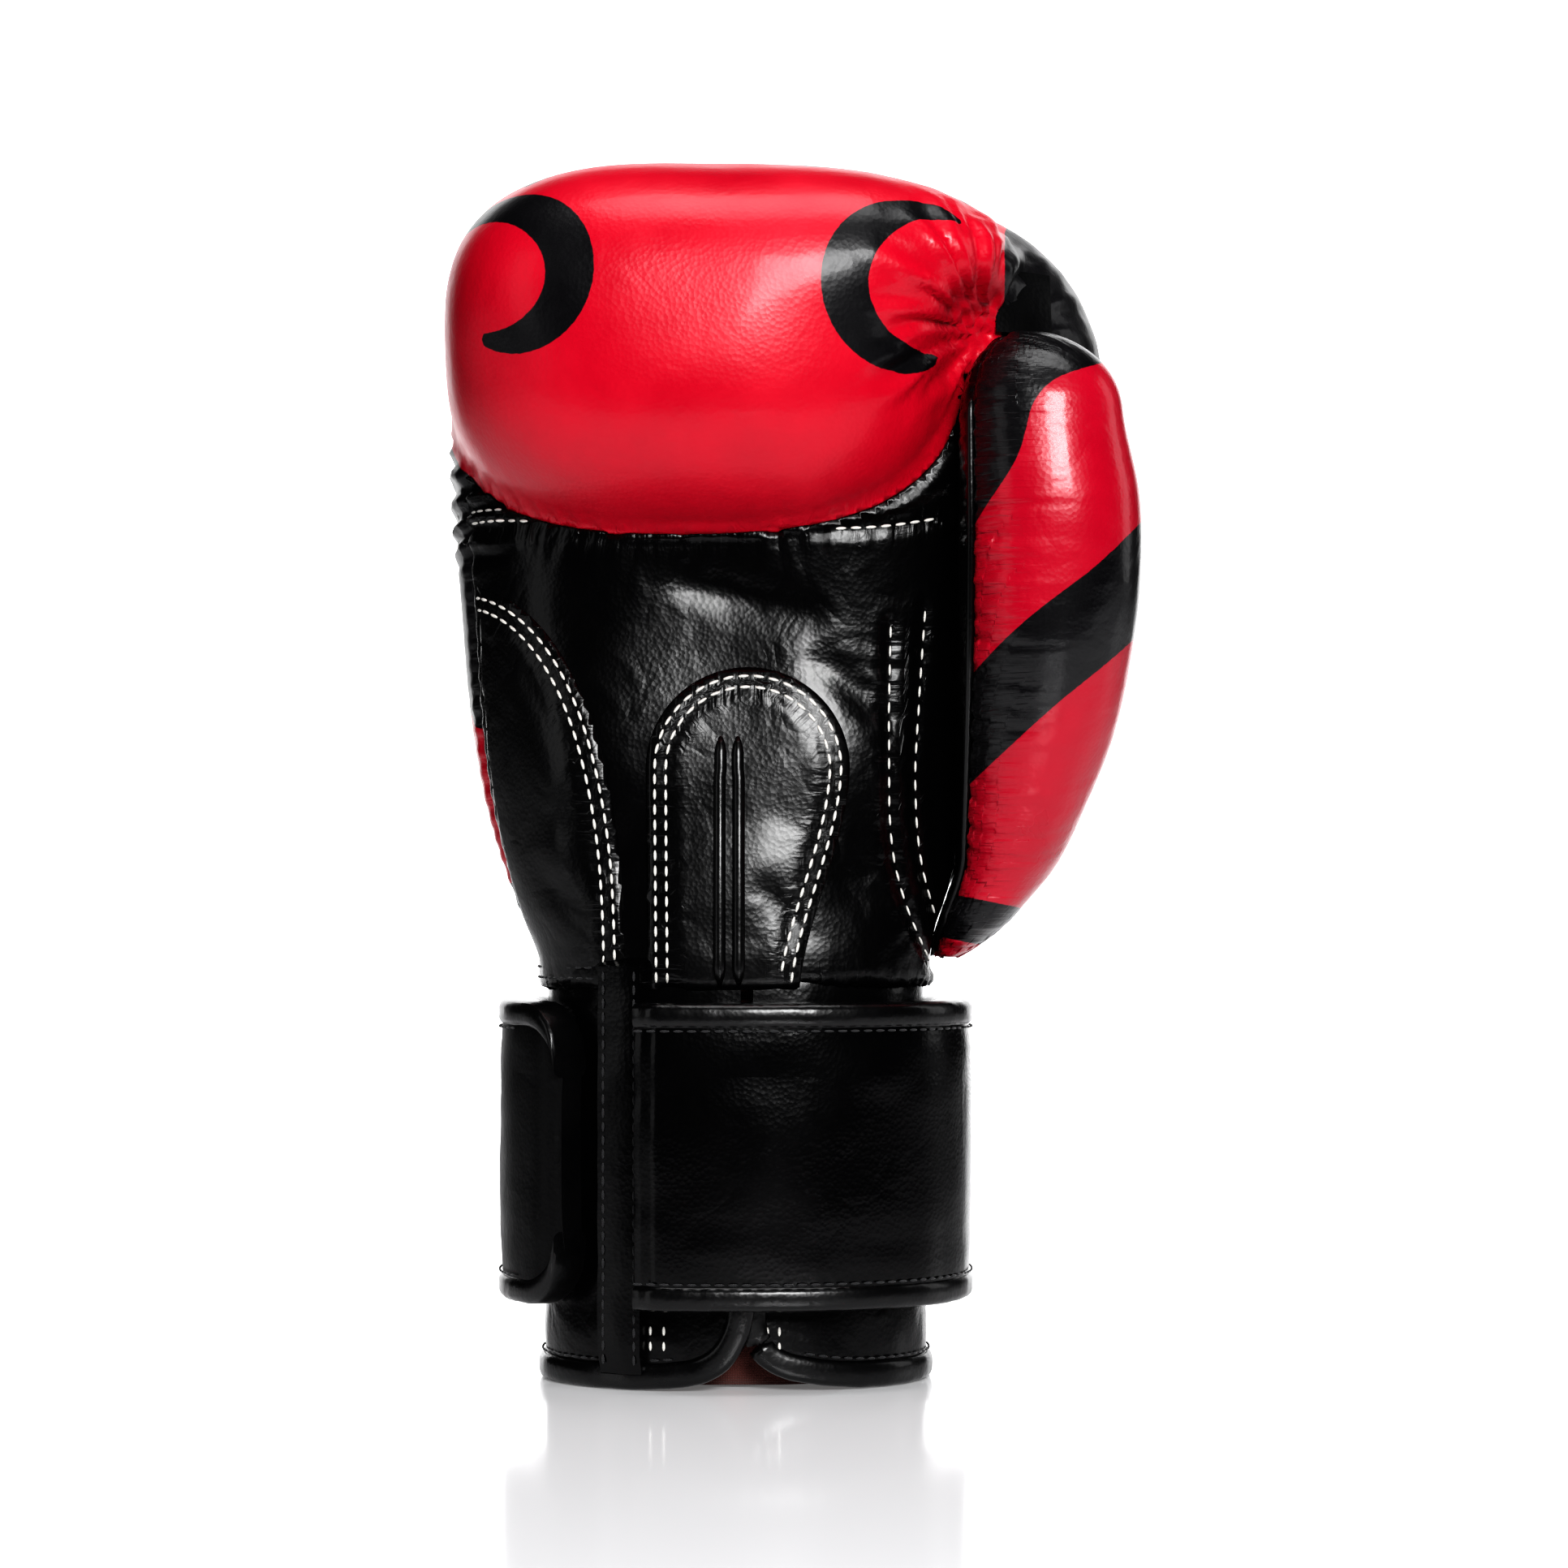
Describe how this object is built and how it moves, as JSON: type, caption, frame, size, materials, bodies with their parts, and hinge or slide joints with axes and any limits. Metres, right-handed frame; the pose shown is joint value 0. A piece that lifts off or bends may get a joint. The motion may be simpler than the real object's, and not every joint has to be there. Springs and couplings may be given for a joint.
{
  "type": "boxing glove",
  "caption": "Right-hand boxing glove standing on its cuff: padded printed fist, attached thumb, stitched black palm and a wrap-round hook-and-loop wrist strap.",
  "frame": {"origin": "Centre of the cuff's mouth, on the plane that the rim stands on.", "axes": "+Z from the cuff up to the fist, -Y the way the palm faces, +Y the back of the hand, +X the thumb side."},
  "size_m": [0.1701, 0.1374, 0.2988],
  "materials": {
    "printed_leather": "semi-gloss coated leather, printed in red and black",
    "black_leather": "glossy coated black leather with a fine grain",
    "binding_leather": "satin black leather, rolled over the edge and stitched",
    "lining_fabric": "smooth woven lining, dark reddish brown",
    "padding_foam": "closed-cell foam padding",
    "loop_pile": "black loop pile",
    "hook_tape": "black hook tape",
    "strap_webbing": "flat woven black webbing",
    "strap_backing": "matt black backing leather"
  },
  "bodies": {
    "glove": {"fist_cover": "printed_leather", "palm_panel": "black_leather", "heel_patch": "black_leather", "slit_patch": "black_leather", "slit_welts": "binding_leather", "fist_outer_foam": "padding_foam", "knuckle_foam": "padding_foam", "palm_foam": "padding_foam", "hand_lining": "lining_fabric", "grip_bar": "padding_foam", "cuff_panel": "black_leather", "cuff_flaps": "black_leather", "cuff_foam": "padding_foam", "cuff_binding": "binding_leather", "neck_band": "black_leather", "anchor_strip": "black_leather", "strap_root": "strap_webbing", "loop_patch": "loop_pile", "thumb_tether": "black_leather"},
    "thumb": {"thumb_cover": "printed_leather", "thumb_inner_panel": "black_leather", "thumb_foam": "padding_foam", "thumb_lining": "lining_fabric", "thumb_welt": "binding_leather"},
    "strap_front": {"strap_front_cover": "black_leather", "strap_front_foam": "padding_foam", "strap_front_backing": "strap_backing", "strap_front_binding": "binding_leather"},
    "strap_back": {"strap_back_cover": "black_leather", "strap_back_foam": "padding_foam", "strap_back_backing": "strap_backing", "strap_back_binding": "binding_leather", "strap_back_hook_tape": "hook_tape"},
    "strap_end": {"strap_end_cover": "black_leather", "strap_end_foam": "padding_foam", "strap_end_backing": "strap_backing", "strap_end_binding": "binding_leather", "strap_end_hook_tape": "hook_tape"}
  },
  "joints": [
    {"name": "strap_unwrap", "type": "hinge", "parent": "glove", "child": "strap_front", "pos_m": [-0.02538, -0.04773, 0.057], "axis": [0, 0, -1], "range_deg": [0, 50]},
    {"name": "strap_bend_thumb_side", "type": "hinge", "parent": "strap_front", "child": "strap_back", "pos_m": [0.05892, -0.00515, 0.057], "axis": [0, 0, -1], "range_deg": [0, 75]},
    {"name": "strap_bend_back", "type": "hinge", "parent": "strap_back", "child": "strap_end", "pos_m": [-0.04119, 0.03978, 0.057], "axis": [0, 0, -1], "range_deg": [0, 100]},
    {"name": "thumb_lean", "type": "hinge", "parent": "glove", "child": "thumb", "pos_m": [0.052, -0.008, 0.105], "axis": [0.7071, 0.7071, 0], "range_deg": [0, 6], "stiffness_Nm_per_rad": 5}
  ],
  "couplings": [
    {"joint": "strap_bend_thumb_side", "follows": "strap_unwrap", "ratio": 1.5},
    {"joint": "strap_bend_back", "follows": "strap_unwrap", "ratio": 2}
  ]
}
